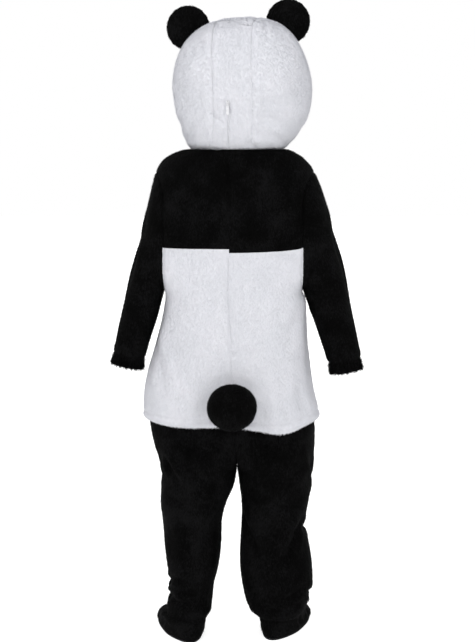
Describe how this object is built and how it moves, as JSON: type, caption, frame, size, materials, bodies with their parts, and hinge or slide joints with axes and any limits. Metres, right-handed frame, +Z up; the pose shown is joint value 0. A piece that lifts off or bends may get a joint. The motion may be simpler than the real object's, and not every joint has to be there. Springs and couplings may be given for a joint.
{
  "type": "panda costume",
  "caption": "Hooded one-piece plush animal costume, held in its worn form and empty, with padded ears and tail, gathered cuffs, foot covers and a back zip.",
  "frame": {"origin": "the middle of the neck seam, where the wearer's shoulders and neck hold the costume up", "axes": "+Z up, +Y towards the wearer's back, where the zip and the tail are, and +X towards the wearer's left"},
  "size_m": [0.5446, 0.3506, 1.372],
  "materials": {
    "plush_white": "short plush pile, matt",
    "plush_black": "short plush pile with a soft low sheen",
    "sole_fabric": "flat non-slip cloth, matt",
    "zip_tape": "flat woven tape",
    "zip_plastic": "coated, satin"
  },
  "bodies": {
    "costume": {"hood_gusset": "plush_white", "hood_side_left": "plush_white", "hood_side_right": "plush_white", "back_lower_left": "plush_white", "back_lower_right": "plush_white", "front_lower": "plush_white", "back_upper_left": "plush_black", "back_upper_right": "plush_black", "front_upper": "plush_black", "sleeve_left": "plush_black", "sleeve_right": "plush_black", "cuff_left": "plush_black", "cuff_right": "plush_black", "leg_back_left": "plush_black", "leg_front_left": "plush_black", "leg_back_right": "plush_black", "leg_front_right": "plush_black", "foot_upper_left": "plush_black", "foot_upper_right": "plush_black", "ear_left_back": "plush_black", "ear_left_front": "plush_black", "ear_right_back": "plush_black", "ear_right_front": "plush_black", "tail": "plush_black", "sole_left": "sole_fabric", "sole_right": "sole_fabric", "zip_tape_body": "zip_tape", "zip_tape_hood": "zip_tape", "zip_slider": "zip_plastic"},
    "pull_tab": {"zip_pull": "zip_plastic"}
  },
  "joints": [
    {"name": "tab_swing", "type": "hinge", "parent": "costume", "child": "pull_tab", "pos_m": [0.00844, 0.13903, 0.08666], "axis": [0.9856, -0.1691, 0], "range_deg": [-18, 170]}
  ]
}
